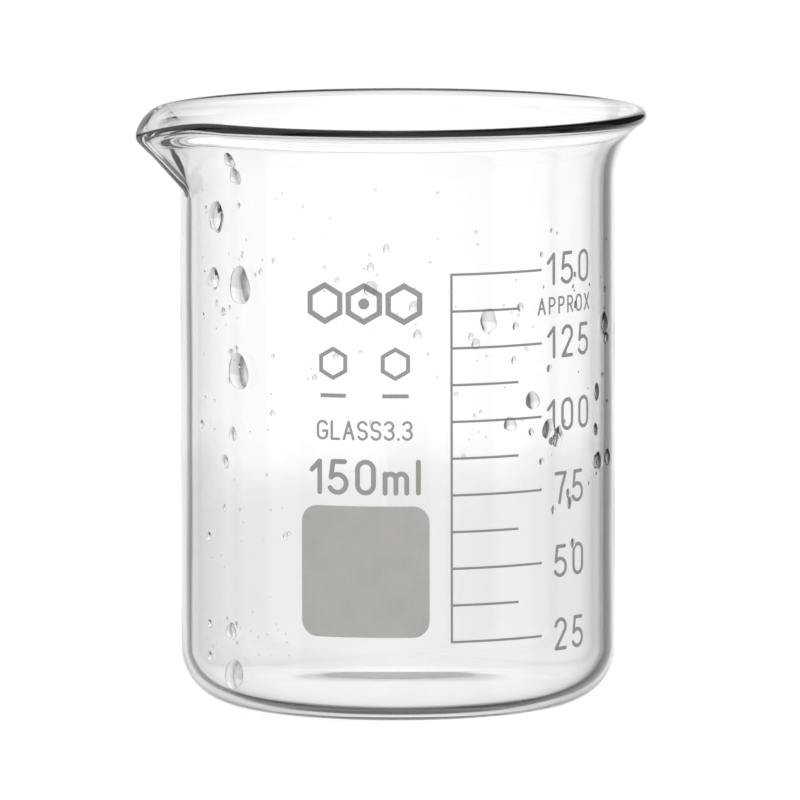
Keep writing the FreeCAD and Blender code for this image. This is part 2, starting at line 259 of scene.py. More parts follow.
@dataclass(frozen=True)
class ClearFinish:
    """A clear, glossy body that light passes through: the glass or the water."""

    name: str
    index: float
    tint_dark: Tint
    tint_light: Tint
    roughness: float
    wave_scale: float
    wave_height: float

    CLOUD_SCALES = (3, 12)
    FILM_SCALES = (2, 40)
    WAVE_SCALES = (1, 4)

    def make(self) -> bpy.types.Material:
        """Build the material.

        Returns:
            The finished material.
        """
        material, shader = new_material(self.name)
        shader.inputs["IOR"].default_value = self.index
        shader.inputs["Transmission Weight"].default_value = 1.0
        clouds, films, ripples = ([self.wave_scale * times for times in scales]
                                  for scales in (self.CLOUD_SCALES, self.FILM_SCALES, self.WAVE_SCALES))
        shade = add_mottle(material, *clouds, 0.3, 0.0, 1.0)
        add_tint(material, shader, shade, self.tint_dark, self.tint_light)
        film = add_mottle(material, *films, 0.4, 0.0, self.roughness)
        material.node_tree.links.new(film, shader.inputs["Roughness"])
        waves = add_mottle(material, *ripples, 0.15, 0.0, 1.0)
        add_bump(material, shader, waves, 1.0, self.wave_height)
        return material


@dataclass(frozen=True)
class EnamelFinish:
    """Fired screen-printed enamel: a warm grey with a fine grain and a matt face."""

    name: str
    tone: float

    WARM = (1.0, 0.965, 0.93)
    CONTRAST = 0.14
    GRAIN = (260.0, 5200.0, 0.45, 0.0, 1.0)
    SHEEN = (400.0, 3000.0, 0.5, 0.5, 0.72)
    RELIEF = (1800.0, 9000.0, 0.6, 0.0, 1.0)
    RELIEF_STRENGTH = 0.35
    RELIEF_HEIGHT = 0.02 * MM

    def make(self) -> bpy.types.Material:
        """Build the material.

        Returns:
            The finished material.
        """
        material, shader = new_material(self.name)
        light = tuple(self.tone * channel for channel in self.WARM)
        dark = tuple(channel * (1 - self.CONTRAST) for channel in light)
        grain = add_mottle(material, *self.GRAIN)
        add_tint(material, shader, grain, dark, light)
        sheen = add_mottle(material, *self.SHEEN)
        material.node_tree.links.new(sheen, shader.inputs["Roughness"])
        relief = add_mottle(material, *self.RELIEF)
        add_bump(material, shader, relief, self.RELIEF_STRENGTH, self.RELIEF_HEIGHT)
        return material


class Finish(Enum):
    """The finishes that the beaker's pieces take."""

    GLASS = ClearFinish("borosilicate_glass", 1.474, (0.98, 0.98, 0.98), (0.994, 0.994, 0.994), 0.012,
                        60.0, 0.004 * MM)
    WATER = ClearFinish("water", 1.333, (0.99, 0.99, 0.99), (1.0, 1.0, 1.0), 0.006, 400.0, 0.004 * MM)
    PATCH = EnamelFinish("enamel_patch", 0.47)
    LETTERING = EnamelFinish("enamel_lettering", 0.36)
    SCALE = EnamelFinish("enamel_scale", 0.30)

    def material(self) -> bpy.types.Material:
        """The finish's material, built the first time it is asked for."""
        return bpy.data.materials.get(self.value.name) or self.value.make()


# =====================================================================================================
# Glass
# =====================================================================================================

@dataclass(frozen=True)
class RimShape:
    """The flared rim and the spout, by how far each upright section is pulled towards the spout."""

    overhang: float = 4.4 * MM
    bead_radius: float = 0.95 * MM
    flare_angle: float = 48.0
    lip_straight: float = 0.3 * MM
    swell_length: float = 3.6 * MM
    spout_azimuth: float = -90.0
    spout_half_angle: float = 30.0
    spout_reach: float = 2.5 * MM
    spout_drop: float = 2.3 * MM
    spout_lean: float = 42.0
    throat_radius: float = 2.0 * MM
    tip_rounding: float = 0.1

    @property
    def set_back(self) -> float:
        """Distance from the bead's centre back to where its circle meets the lip's faces."""
        return math.sqrt(self.bead_radius ** 2 - (WALL / 2) ** 2)

    @property
    def flare_radius(self) -> float:
        """Outer radius of the plain rim's flare."""
        lean = math.radians(self.flare_angle)
        lip = (self.overhang - self.bead_radius - self.set_back * math.sin(lean)
               + WALL / 2 * math.cos(lean))
        return (lip - self.lip_straight * math.sin(lean)) / (1 - math.cos(lean))

    def pull(self, azimuth: float) -> float:
        """How far a section is pulled out, 0 on the plain rim and 1 in the middle of the spout.

        Args:
            azimuth: the section's azimuth in radians.

        Returns:
            The pull.
        """
        def distance(share: float) -> float:
            return math.hypot(share, self.tip_rounding) - self.tip_rounding

        offset = (math.degrees(azimuth) - self.spout_azimuth + 180) % 360 - 180
        share = min(1.0, abs(offset) / self.spout_half_angle)
        return (1 - distance(share) / distance(1.0)) ** 2

    def middle_line(self, pull: float, steps: int) -> list[tuple[Point2, Point2]]:
        """The line midway through the glass from the wall to the bead's centre.

        Args:
            pull: how far the section is pulled towards the spout.
            steps: points on the flare's arc, and again on the straight run.

        Returns:
            Points as radius and height, each with its direction.
        """
        lean = math.radians(self.flare_angle + pull * (self.spout_lean - self.flare_angle))
        along = (math.sin(lean), math.cos(lean))
        bead = (BODY_RADIUS + self.overhang - self.bead_radius + pull * self.spout_reach,
                HEIGHT - self.bead_radius - pull * self.spout_drop)
        bend = self.flare_radius + pull * (self.throat_radius - self.flare_radius) + WALL / 2
        wall_r = BODY_RADIUS - WALL / 2
        run = (bead[0] - wall_r - bend * (1 - math.cos(lean))) / along[0]
        start = bead[1] - run * along[1] - bend * math.sin(lean)
        line = []
        for step in range(steps + 1):
            turn = lean * step / steps
            line.append(((wall_r + bend * (1 - math.cos(turn)), start + bend * math.sin(turn)),
                         (math.sin(turn), math.cos(turn))))
        for step in range(1, steps + 1):
            left = run * (1 - step / steps)
            line.append(((bead[0] - left * along[0], bead[1] - left * along[1]), along))
        return line

    def section(self, pull: float, steps: int) -> tuple[Outline, Outline, Outline]:
        """The rim's outer line, the bead's round end and the inner line.

        Args:
            pull: how far the section is pulled towards the spout.
            steps: points on each stretch.

        Returns:
            The three runs of radius and height, in order from the outer wall to the inner wall.
        """
        line = self.middle_line(pull, steps)
        bead, along = line[-1]
        outer, inner = [], []
        for point, way in line:
            distance = math.hypot(point[0] - bead[0], point[1] - bead[1])
            swell = smooth_step(1 - distance / self.swell_length)
            half = WALL / 2 + (self.bead_radius - WALL / 2) * swell
            outer.append((point[0] + way[1] * half, point[1] - way[0] * half))
            inner.append((point[0] - way[1] * half, point[1] + way[0] * half))
        round_end = []
        for step in range(1, steps):
            turn = math.pi * step / steps
            ahead, side = math.sin(turn), -math.cos(turn)
            round_end.append((
                bead[0] + self.bead_radius * (ahead * along[0] - side * along[1]),
                bead[1] + self.bead_radius * (ahead * along[1] + side * along[0]),
            ))
        return outer, round_end, inner[::-1]


@dataclass
class Vessel:
    """The beaker's one piece of glass."""

    rim: RimShape = field(default_factory=RimShape)
    heel_radius: float = 7.5 * MM
    base_thickness: float = 1.6 * MM
    push_up: float = 0.25 * MM
    push_up_radius: float = 18.0 * MM
    columns: int = 480
    rim_steps: int = 14
    heel_steps: int = 14
    wall_steps: int = 24
    base_steps: int = 8
    unevenness: float = 0.03 * MM
    unevenness_scale: float = 70.0

    def build(self) -> bpy.types.Object:
        """Make the glass as one closed mesh.

        Returns:
            The finished piece.
        """
        sections = [self.section(2 * math.pi * k / self.columns) for k in range(self.columns)]
        rows = len(sections[0])
        points = [point for section in sections for point in section]
        under = len(points)
        points.append(Vector((0, 0, self.push_up)))
        points.append(Vector((0, 0, self.base_thickness)))
        faces = []
        for column in range(self.columns):
            here, there = column * rows, (column + 1) % self.columns * rows
            for row in range(rows - 1):
                faces.append((here + row, there + row, there + row + 1, here + row + 1))
            faces.append((under, there, here))
            faces.append((here + rows - 1, there + rows - 1, under + 1))
        mesh = bpy.data.meshes.new("glass_body")
        mesh.from_pydata(points, [], faces)
        mesh.validate()
        piece = add_object("glass_body", mesh, smooth=True)
        piece.visible_shadow = False
        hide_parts("glass_vessel")
        return dress(piece, Finish.GLASS.material())

    def section(self, azimuth: float) -> list[Vector]:
        """One upright section, from the middle of the underside round the rim to the middle of the floor.

        Args:
            azimuth: where it stands, in radians.

        Returns:
            Its points.
        """
        outer_rim, round_end, inner_rim = self.rim.section(self.rim.pull(azimuth), self.rim_steps)
        outer = [*self.underside(), *self.outer_heel(), *self.straight(BODY_RADIUS, self.heel_radius,
                                                                         outer_rim[0][1])]
        inner_heel = self.inner_heel()
        inner = [*self.straight(INNER_RADIUS, inner_rim[-1][1], inner_heel[0][1]), *inner_heel,
                 *self.inside_floor()]
        points = [around(r, azimuth, z) for r, z in [*outer, *outer_rim, *round_end]]
        for r, z in [*inner_rim, *inner]:
            points.append(self.uneven(around(r, azimuth, z)))
        return points

    def underside(self) -> Outline:
        """The base's under face, pushed up a little in the middle, without its centre."""
        heel_r = BODY_RADIUS - self.heel_radius
        line = []
        for step in range(1, self.base_steps):
            r = heel_r * step / self.base_steps
            rise = max(0.0, 1 - (r / self.push_up_radius) ** 2)
            line.append((r, self.push_up * rise * rise))
        return line

    def outer_heel(self) -> Outline:
        """The round corner under the wall, with both its ends."""
        centre = BODY_RADIUS - self.heel_radius
        line = []
        for step in range(self.heel_steps + 1):
            turn = math.pi / 2 * step / self.heel_steps
            line.append((centre + self.heel_radius * math.sin(turn),
                         self.heel_radius * (1 - math.cos(turn))))
        return line

    def inner_heel(self) -> Outline:
        """The round corner inside, from the wall down to the floor, with both its ends."""
        radius = self.heel_radius - WALL
        centre = INNER_RADIUS - radius
        line = []
        for step in range(self.heel_steps + 1):
            turn = math.pi / 2 * (1 - step / self.heel_steps)
            line.append((centre + radius * math.sin(turn),
                         self.base_thickness + radius * (1 - math.cos(turn))))
        return line

    def straight(self, radius: float, start: float, end: float) -> Outline:
        """Points up or down a straight wall, without its ends."""
        return [(radius, start + (end - start) * step / self.wall_steps)
                for step in range(1, self.wall_steps)]

    def inside_floor(self) -> Outline:
        """The floor inside, from its edge towards the centre, without either."""
        edge = BODY_RADIUS - self.heel_radius
        return [(edge * (1 - step / self.base_steps), self.base_thickness)
                for step in range(1, self.base_steps)]

    def uneven(self, point: Vector) -> Vector:
        """Move a point of the inner face a little in or out, as blown glass is never quite even."""
        wave = noise.noise(point * self.unevenness_scale)
        flat = Vector((point.x, point.y, 0))
        if flat.length < self.base_thickness:
            return point
        return point + flat.normalized() * (wave * self.unevenness)


# =====================================================================================================
# Print
# =====================================================================================================

# Each character is its width and the pen's moves: a move of four numbers is a straight line from x, y to
# x, y, and a move of five is part of a circle: centre x, y, radius, first and last angle. The pen's middle
# stays within a box one unit high, with its foot at 0.
CHARACTERS: dict[str, tuple[float, list[tuple[float, ...]]]] = {
    "0": (0.52, [(0.26, 0.74, 0.26, 0, 180), (0, 0.74, 0, 0.26), (0.26, 0.26, 0.26, 180, 360),
                 (0.52, 0.26, 0.52, 0.74)]),
    "1": (0.27, [(0, 0.72, 0.27, 1), (0.27, 1, 0.27, 0)]),
    "2": (0.5, [(0.25, 0.75, 0.25, -36, 172), (0.452, 0.603, 0, 0), (0, 0, 0.5, 0)]),
    "3": (0.48, [(0.22, 0.76, 0.24, -90, 155), (0.22, 0.26, 0.26, -155, 90)]),
    "5": (0.52, [(0.47, 1, 0.08, 1), (0.08, 1, 0.014, 0.484), (0.23, 0.29, 0.29, -150, 138)]),
    "7": (0.5, [(0, 1, 0.5, 1), (0.5, 1, 0.29, 0.5), (0.29, 0.5, 0.19, 0)]),
    "A": (0.56, [(0, 0, 0.28, 1), (0.28, 1, 0.56, 0), (0.1, 0.35, 0.46, 0.35)]),
    "G": (0.56, [(0.28, 0.72, 0.28, 25, 180), (0, 0.72, 0, 0.28), (0.28, 0.28, 0.28, 180, 360),
                 (0.56, 0.28, 0.56, 0.45), (0.56, 0.45, 0.32, 0.45)]),
    "L": (0.44, [(0, 1, 0, 0), (0, 0, 0.44, 0)]),
    "O": (0.58, [(0.29, 0.71, 0.29, 0, 180), (0, 0.71, 0, 0.29), (0.29, 0.29, 0.29, 180, 360),
                 (0.58, 0.29, 0.58, 0.71)]),
    "P": (0.48, [(0, 0, 0, 1), (0, 1, 0.22, 1), (0.22, 0.74, 0.26, -90, 90), (0.22, 0.48, 0, 0.48)]),
    "R": (0.5, [(0, 0, 0, 1), (0, 1, 0.22, 1), (0.22, 0.74, 0.26, -90, 90), (0.22, 0.48, 0, 0.48),
                (0.24, 0.48, 0.5, 0)]),
    "S": (0.5, [(0.25, 0.75, 0.25, 25, 270), (0.25, 0.25, 0.25, -155, 90)]),
    "X": (0.54, [(0, 0, 0.54, 1), (0, 1, 0.54, 0)]),
    "l": (0.0, [(0, 0, 0, 1)]),
    "m": (0.7, [(0, 0, 0, 0.62), (0.175, 0.445, 0.175, 0, 180), (0.35, 0.445, 0.35, 0),
                (0.525, 0.445, 0.175, 0, 180), (0.7, 0.445, 0.7, 0)]),
    ".": (0.0, [(0, 0, 0, 0.02)]),
}


class Film:
    """A thin layer of enamel on the outside of the wall, drawn flat and then wrapped round it.

    Across is the arc length round the wall from the scale's stem, and up is the height.
    """

    THICKNESS = 0.03 * MM
    GAP = 0.008 * MM
    STEP = 0.6 * MM
    TALL_STEP = 4 * STEP
    MERGE = 1e-7
    INSIDE_ONLY = 1

    def __init__(self) -> None:
        """Start with nothing drawn."""
        self.groups: list[list[Outline]] = []

    def add(self, outlines: list[Outline]) -> None:
        """Add one connected shape, as outlines that may overlap.

        Args:
            outlines: closed outlines, in metres across and up.
        """
        self.groups.append([self.refine(outline) for outline in outlines])

    def refine(self, outline: Outline) -> Outline:
        """Cut an outline's long sides into steps short enough to bend round the wall.

        Args:
            outline: the closed outline.

        Returns:
            The outline with more points.
        """
        refined = []
        for (x0, y0), (x1, y1) in zip(outline, outline[1:] + outline[:1]):
            pieces = max(1, math.ceil(abs(x1 - x0) / self.STEP), math.ceil(abs(y1 - y0) / self.TALL_STEP))
            refined += [(x0 + (x1 - x0) * k / pieces, y0 + (y1 - y0) * k / pieces) for k in range(pieces)]
        return refined

    def inner_points(self, outlines: list[Outline]) -> Outline:
        """Points on a grid inside wide shapes, so that the film bends with the wall.

        Args:
            outlines: the shape's outlines.

        Returns:
            The grid's points within the outlines' box.
        """
        across = [x for outline in outlines for x, _ in outline]
        up = [y for outline in outlines for _, y in outline]
        if len(outlines) > 1 or max(across) - min(across) < self.TALL_STEP:
            return []
        grid = []
        columns = int((max(across) - min(across)) / self.STEP)
        rows = int((max(up) - min(up)) / self.TALL_STEP)
        for column in range(1, columns):
            for row in range(1, rows):
                grid.append((min(across) + (max(across) - min(across)) * column / columns,
                             min(up) + (max(up) - min(up)) * row / rows))
        return grid

    def build(self, name: str, finish: Finish, node: str) -> bpy.types.Object:
        """Make the piece that stands for one CAD node.

        Args:
            name: the piece's name.
            finish: its enamel.
            node: the CAD node that it replaces.

        Returns:
            The finished piece.
        """
        made = bmesh.new()
        for outlines in self.groups:
            self.wrap_shape(made, outlines)
        bmesh.ops.recalc_face_normals(made, faces=made.faces)
        mesh = bpy.data.meshes.new(name)
        made.to_mesh(mesh)
        made.free()
        piece = add_object(name, mesh, smooth=False)
        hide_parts(node)
        return dress(piece, finish.material())

    def wrap_shape(self, made: bmesh.types.BMesh, outlines: list[Outline]) -> None:
        """Join a shape's outlines, and add the closed film that they cover to a mesh.

        Args:
            made: the mesh that gets it.
            outlines: the shape's outlines.
        """
        flat, rings = [], []
        for outline in outlines:
            rings.append(list(range(len(flat), len(flat) + len(outline))))
            flat += [Vector(point) for point in outline]
        flat += [Vector(point) for point in self.inner_points(outlines)]
        points, _, faces, _, _, covers = delaunay_2d_cdt(flat, [], rings, self.INSIDE_ONLY,
                                                         self.MERGE)
        faces = [face for face, cover in zip(faces, covers) if cover]
        low_r = BODY_RADIUS + self.GAP
        layers = []
        for radius in (low_r, low_r + self.THICKNESS):
            layers.append([made.verts.new(around(radius, p.x / BODY_RADIUS, p.y)) for p in points])
        sides: dict[tuple[int, int], tuple[int, int]] = {}
        for face in faces:
            made.faces.new([layers[1][k] for k in face])
            made.faces.new([layers[0][k] for k in reversed(face)])
            for start, end in zip(face, [*face[1:], face[0]]):
                key = (min(start, end), max(start, end))
                if key in sides:
                    del sides[key]
                else:
                    sides[key] = (start, end)
        for start, end in sides.values():
            made.faces.new([layers[0][start], layers[0][end], layers[1][end], layers[1][start]])


def rectangle(left: float, right: float, low: float, high: float) -> Outline:
    """The outline of an upright rectangle."""
    return [(left, low), (right, low), (right, high), (left, high)]


def arc_points(centre: Point2, radius: float, start: float, end: float, steps: int) -> Outline:
    """Points along part of a circle, with both its ends.

    Args:
        centre: the circle's centre.
        radius: its radius.
        start: the first angle, in degrees.
        end: the last angle, in degrees.
        steps: how many chords it takes.

    Returns:
        The points in order.
    """
    points = []
    for step in range(steps + 1):
        turn = math.radians(start + (end - start) * step / steps)
        points.append((centre[0] + radius * math.cos(turn), centre[1] + radius * math.sin(turn)))
    return points


def pen_line(start: Point2, end: Point2, stroke: float) -> Outline:
    """The outline of a straight pen stroke with round ends."""
    angle = math.degrees(math.atan2(end[1] - start[1], end[0] - start[0]))
    return [*arc_points(end, stroke / 2, angle - 90, angle + 90, CAP_STEPS),
            *arc_points(start, stroke / 2, angle + 90, angle + 270, CAP_STEPS)]


def pen_arc(centre: Point2, radius: float, start: float, end: float, stroke: float) -> Outline:
    """The outline of a pen stroke along part of a circle, with round ends."""
    half = stroke / 2
    steps = max(4, math.ceil((end - start) / 10))
    first = arc_points(centre, radius, start, start, 1)[0]
    last = arc_points(centre, radius, end, end, 1)[0]
    return [*arc_points(centre, radius + half, start, end, steps),
            *arc_points(last, half, end, end + 180, CAP_STEPS)[1:-1],
            *arc_points(centre, radius - half, end, start, steps),
            *arc_points(first, half, start + 180, start + 360, CAP_STEPS)[1:-1]]


@dataclass(frozen=True)
class Lettering:
    """A row of characters about an arc length round the wall."""

    text: str
    offset: float
    foot: float
    height: float
    stroke: float
    gap: float

    def draw(self, film: Film) -> Film:
        """Add each character to a film.

        Args:
            film: the film to draw on.

        Returns:
            The same film.
        """
        scale = self.height - self.stroke
        widths = [CHARACTERS[name][0] * scale + self.stroke for name in self.text]
        left = self.offset - (sum(widths) + self.gap * (len(widths) - 1)) / 2
        for name, width in zip(self.text, widths):
            corner = (left + self.stroke / 2, self.foot + self.stroke / 2)
            film.add([self.pen_move(move, corner, scale) for move in CHARACTERS[name][1]])
            left += width + self.gap
        return film

    def pen_move(self, move: tuple[float, ...], corner: Point2, scale: float) -> Outline:
        """The outline of one of a character's moves.

        Args:
            move: four numbers for a line or five for part of a circle.
            corner: the character's lower left corner.
            scale: the height of the character's box.

        Returns:
            The stroke's outline.
        """
        start = (corner[0] + move[0] * scale, corner[1] + move[1] * scale)
        if len(move) == 4:
            end = (corner[0] + move[2] * scale, corner[1] + move[3] * scale)
            return pen_line(start, end, self.stroke)
        return pen_arc(start, move[2] * scale, move[3], move[4], self.stroke)


@dataclass
class Print:
    """Everything that is fired on to the wall."""

    line: float = 0.33 * MM
    long_mark: float = 14.0 * MM
    short_mark: float = 10.0 * MM
    lowest_volume: int = 25
    top_volume: int = 150
    numbered_step: int = 25
    figure_offset: float = 19.6 * MM
    figure_height: float = 4.5 * MM
    figure_stroke: float = 0.5 * MM
    figure_gap: float = 1.25 * MM
    approx_offset: float = 18.9 * MM
    approx_height: float = 2.4 * MM
    approx_stroke: float = 0.3 * MM
    approx_gap: float = 0.56 * MM
    column_offset: float = -12.0 * MM
    capacity_stroke: float = 0.68 * MM
    capacity_gap: float = 0.9 * MM
    grade_stroke: float = 0.34 * MM
    grade_gap: float = 0.33 * MM
    patch_corner: float = 2.3 * MM
    cell_radius: float = 2.9 * MM
    cell_stroke: float = 0.75 * MM
    cell_gap: float = 0.45 * MM
    dot_radius: float = 0.75 * MM
    pair_radius: float = 2.3 * MM
    pair_stroke: float = 0.55 * MM
    pair_spread: float = 4.3 * MM
    pair_drop: float = 8.2 * MM
    rule_width: float = 3.6 * MM
    rule_height: float = 0.55 * MM

    def __post_init__(self) -> None:
        """Take the scale's ends from the CAD model."""
        low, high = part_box("graduation_scale")
        self.lowest_height = low.z + self.line / 2
        self.top_height = high.z - self.line / 2

    def mark_height(self, volume: float) -> float:
        """Height of the mark for a volume in millilitres."""
        share = (volume - self.lowest_volume) / (self.top_volume - self.lowest_volume)
        return self.lowest_height + share * (self.top_height - self.lowest_height)

    def build(self) -> None:
        """Make every printed piece."""
        self.build_scale()
        for volume in range(self.lowest_volume, self.top_volume + 1, self.numbered_step):
            self.build_figure(volume)
        self.build_words()
        self.build_patch()
        self.build_decoration()

    def build_scale(self) -> None:
        """The stem and its cross marks."""
        half = self.line / 2
        outlines = [rectangle(-half, half, self.lowest_height - half, self.top_height + half)]
        half_step = self.numbered_step / 2
        for count in range(round((self.top_volume - self.lowest_volume) / half_step) + 1):
            height = self.mark_height(self.lowest_volume + count * half_step)
            length = self.short_mark if count % 2 else self.long_mark
            outlines.append(rectangle(-half, length, height - half, height + half))
        film = Film()
        film.add(outlines)
        film.build("scale_lines", Finish.SCALE, "graduation_scale")

    def build_figure(self, volume: int) -> None:
        """The figure beside one long mark."""
        foot = self.mark_height(volume) - self.figure_height / 2
        text = Lettering(str(volume), self.figure_offset, foot, self.figure_height, self.figure_stroke,
                         self.figure_gap)
        text.draw(Film()).build(f"figure_{volume}", Finish.SCALE, f"numeral_{volume}")

    def build_words(self) -> None:
        """The approximate mark, the capacity and the glass grade."""
        approx_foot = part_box("approx_mark")[0].z
        capacity_low, capacity_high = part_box("capacity_mark")
        grade_low, grade_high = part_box("glass_grade_mark")
        rows = (
            (Lettering("APPROX", self.approx_offset, approx_foot, self.approx_height,
                       self.approx_stroke, self.approx_gap),
             "approx_lettering", Finish.SCALE, "approx_mark"),
            (Lettering("150ml", self.column_offset, capacity_low.z, capacity_high.z - capacity_low.z,
                       self.capacity_stroke, self.capacity_gap),
             "capacity_lettering", Finish.LETTERING, "capacity_mark"),
            (Lettering("GLASS3.3", self.column_offset, grade_low.z, grade_high.z - grade_low.z,
                       self.grade_stroke, self.grade_gap),
             "glass_grade_lettering", Finish.LETTERING, "glass_grade_mark"),
        )
        for text, name, finish, node in rows:
            text.draw(Film()).build(name, finish, node)

    def build_patch(self) -> None:
        """The block that can be written on."""
        low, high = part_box("writing_patch")
        left = BODY_RADIUS * math.asin(low.x / BODY_RADIUS)
        right = 2 * self.column_offset - left
        corner = self.patch_corner
        corners = (((right - corner, low.z + corner), -90), ((right - corner, high.z - corner), 0),
                   ((left + corner, high.z - corner), 90), ((left + corner, low.z + corner), 180))
        outline = []
        for centre, angle in corners:
            outline += arc_points(centre, corner, angle, angle + 90, CORNER_STEPS)
        film = Film()
        film.add([outline])
        film.build("writing_block", Finish.PATCH, "writing_patch")

    def build_decoration(self) -> None:
        """The row of hexagon rings with a dot in the middle one, over two smaller rings and their rules."""
        low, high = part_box("decorative_mark")
        middle = high.z - self.cell_radius
        pitch = 2 * self.cell_radius * HEXAGON_FLAT + self.cell_gap
        film = Film()
        for place in (-1, 0, 1):
            film.add(hexagon_ring((self.column_offset + place * pitch, middle), self.cell_radius,
                                  self.cell_stroke))
        film.add([arc_points((self.column_offset, middle), self.dot_radius, 0, 345, 23)])
        for side in (-1, 1):
            across = self.column_offset + side * self.pair_spread
            film.add(hexagon_ring((across, middle - self.pair_drop), self.pair_radius, self.pair_stroke))
            film.add([rectangle(across - self.rule_width / 2, across + self.rule_width / 2, low.z,
                                low.z + self.rule_height)])
        film.build("hexagon_mark", Finish.LETTERING, "decorative_mark")


def hexagon_ring(centre: Point2, radius: float, stroke: float) -> list[Outline]:
    """A hexagon ring with a corner at its top, as six bars.

    Args:
        centre: its centre.
        radius: centre to outer corner.
        stroke: the width of its bars.

    Returns:
        The bars' outlines.
    """
    outside = arc_points(centre, radius, 90, 450, 6)
    inside = arc_points(centre, radius - stroke / HEXAGON_FLAT, 90, 450, 6)
    return [[outside[k], outside[k + 1], inside[k + 1], inside[k]] for k in range(6)]


# =====================================================================================================
# Water
# =====================================================================================================

class Face(Enum):
    """The face of the wall that a drop clings to, with the way the drop bulges."""

    OUTSIDE = 1.0
    INSIDE = -1.0

    def radius(self, rim: RimShape, azimuth: float, height: float) -> float:
        """The face's radius at one place, on the straight wall or the flare.

        Args:
            rim: the rim's shape.
            azimuth: the place's azimuth, in radians.
            height: the place's height.

        Returns:
            The radius.
        """
        outer, _, inner = rim.section(rim.pull(azimuth), 8)
        line = outer if self is Face.OUTSIDE else inner[::-1]
        return float(np.interp(height, [z for _, z in line], [r for r, _ in line]))


@dataclass(frozen=True)
class Drop:
    """One drop: its azimuth in degrees, and its height, full width and full length in millimetres."""

    azimuth: float
    up: float
    width: float
    tall: float
    face: Face = Face.OUTSIDE
    bulge: float = 0.45
    taper: float = 0.12


@dataclass
class Drops:
    """A set of drops, as one piece."""

    name: str
    drops: list[Drop]
    rings: int = 8
    spokes: int = 28
    gap: float = 0.045 * MM
    fullness: float = 2.3
    sag: float = 0.3
    wander: float = 0.2
    rim: RimShape = field(default_factory=RimShape)

    def build(self) -> bpy.types.Object:
        """Make the piece.

        Returns:
            The finished piece.
        """
        made = bmesh.new()
        for number, drop in enumerate(self.drops):
            self.add_drop(made, drop, number)
        bmesh.ops.recalc_face_normals(made, faces=made.faces)
        mesh = bpy.data.meshes.new(self.name)
        made.to_mesh(mesh)
        made.free()
        piece = add_object(self.name, mesh, smooth=True)
        piece.visible_shadow = False
        return dress(piece, Finish.WATER.material())

    def add_drop(self, made: bmesh.types.BMesh, drop: Drop, number: int) -> None:
        """Add one closed drop to a mesh.

        Args:
            made: the mesh that gets it.
            drop: the drop.
            number: its place in the set, which sets how its edge wanders.
        """
        turns = [2 * math.pi * spoke / self.spokes for spoke in range(self.spokes)]
        layers = {}
        for front in (True, False):
            centre = made.verts.new(self.place(drop, number, 0.0, 0.0, front))
            layers[front] = [[centre] * self.spokes]
            for ring in range(1, self.rings + front):
                share = math.sin(math.pi / 2 * ring / self.rings)
                layers[front].append([made.verts.new(self.place(drop, number, share, turn, front))
                                      for turn in turns])
        layers[False].append(layers[True][-1])
        for rows in layers.values():
            for inner, outer in zip(rows, rows[1:]):
                for spoke in range(self.spokes):
                    after = (spoke + 1) % self.spokes
                    corners = dict.fromkeys((inner[spoke], outer[spoke], outer[after], inner[after]))
                    made.faces.new(list(corners))

    def place(self, drop: Drop, number: int, share: float, turn: float, front: bool) -> Vector:
        """A point on a drop's front or back.

        Args:
            drop: the drop.
            number: its place in the set.
            share: 0 in the middle to 1 at the edge.
            turn: the angle round the drop, in radians.
            front: whether it is on the face away from the wall.

        Returns:
            The point.
        """
        wander = noise.noise(Vector((math.cos(turn), math.sin(turn), 3.7 * number + drop.azimuth)))
        reach = share * (1 + self.wander * wander)
        half_width, half_tall = drop.width * MM / 2, drop.tall * MM / 2
        across = half_width * reach * math.cos(turn) * (1 - drop.taper * math.sin(turn))
        height = drop.up * MM + half_tall * reach * math.sin(turn)
        lift = 0.0
        if front:
            depth = drop.bulge * min(half_width, half_tall)
            lift = depth * (1 - share ** self.fullness) * (1 - self.sag * share * math.sin(turn))
        azimuth = math.radians(drop.azimuth) + across / BODY_RADIUS
        wall = drop.face.radius(self.rim, math.radians(drop.azimuth), height)
        return around(wall + drop.face.value * (self.gap + lift), azimuth, height)


@dataclass(frozen=True)
class Spray:
    """A patch of wall with drops scattered over it."""

    azimuths: tuple[float, float]
    heights: tuple[float, float]
    count: int
    widths: tuple[float, float]
    face: Face = Face.OUTSIDE

    SMALL_BIAS = 2.5
    LONGEST = 1.5

    def scatter(self, chance: random.Random) -> list[Drop]:
        """Place the drops.

        Args:
            chance: the source of random numbers.

        Returns:
            The drops, most of them near the smaller width.
        """
        drops = []
        for _ in range(self.count):
            width = self.widths[0] + (self.widths[1] - self.widths[0]) * chance.random() ** self.SMALL_BIAS
            drops.append(Drop(chance.uniform(*self.azimuths), chance.uniform(*self.heights), width,
                              width * chance.uniform(1.0, self.LONGEST), self.face))
        return drops


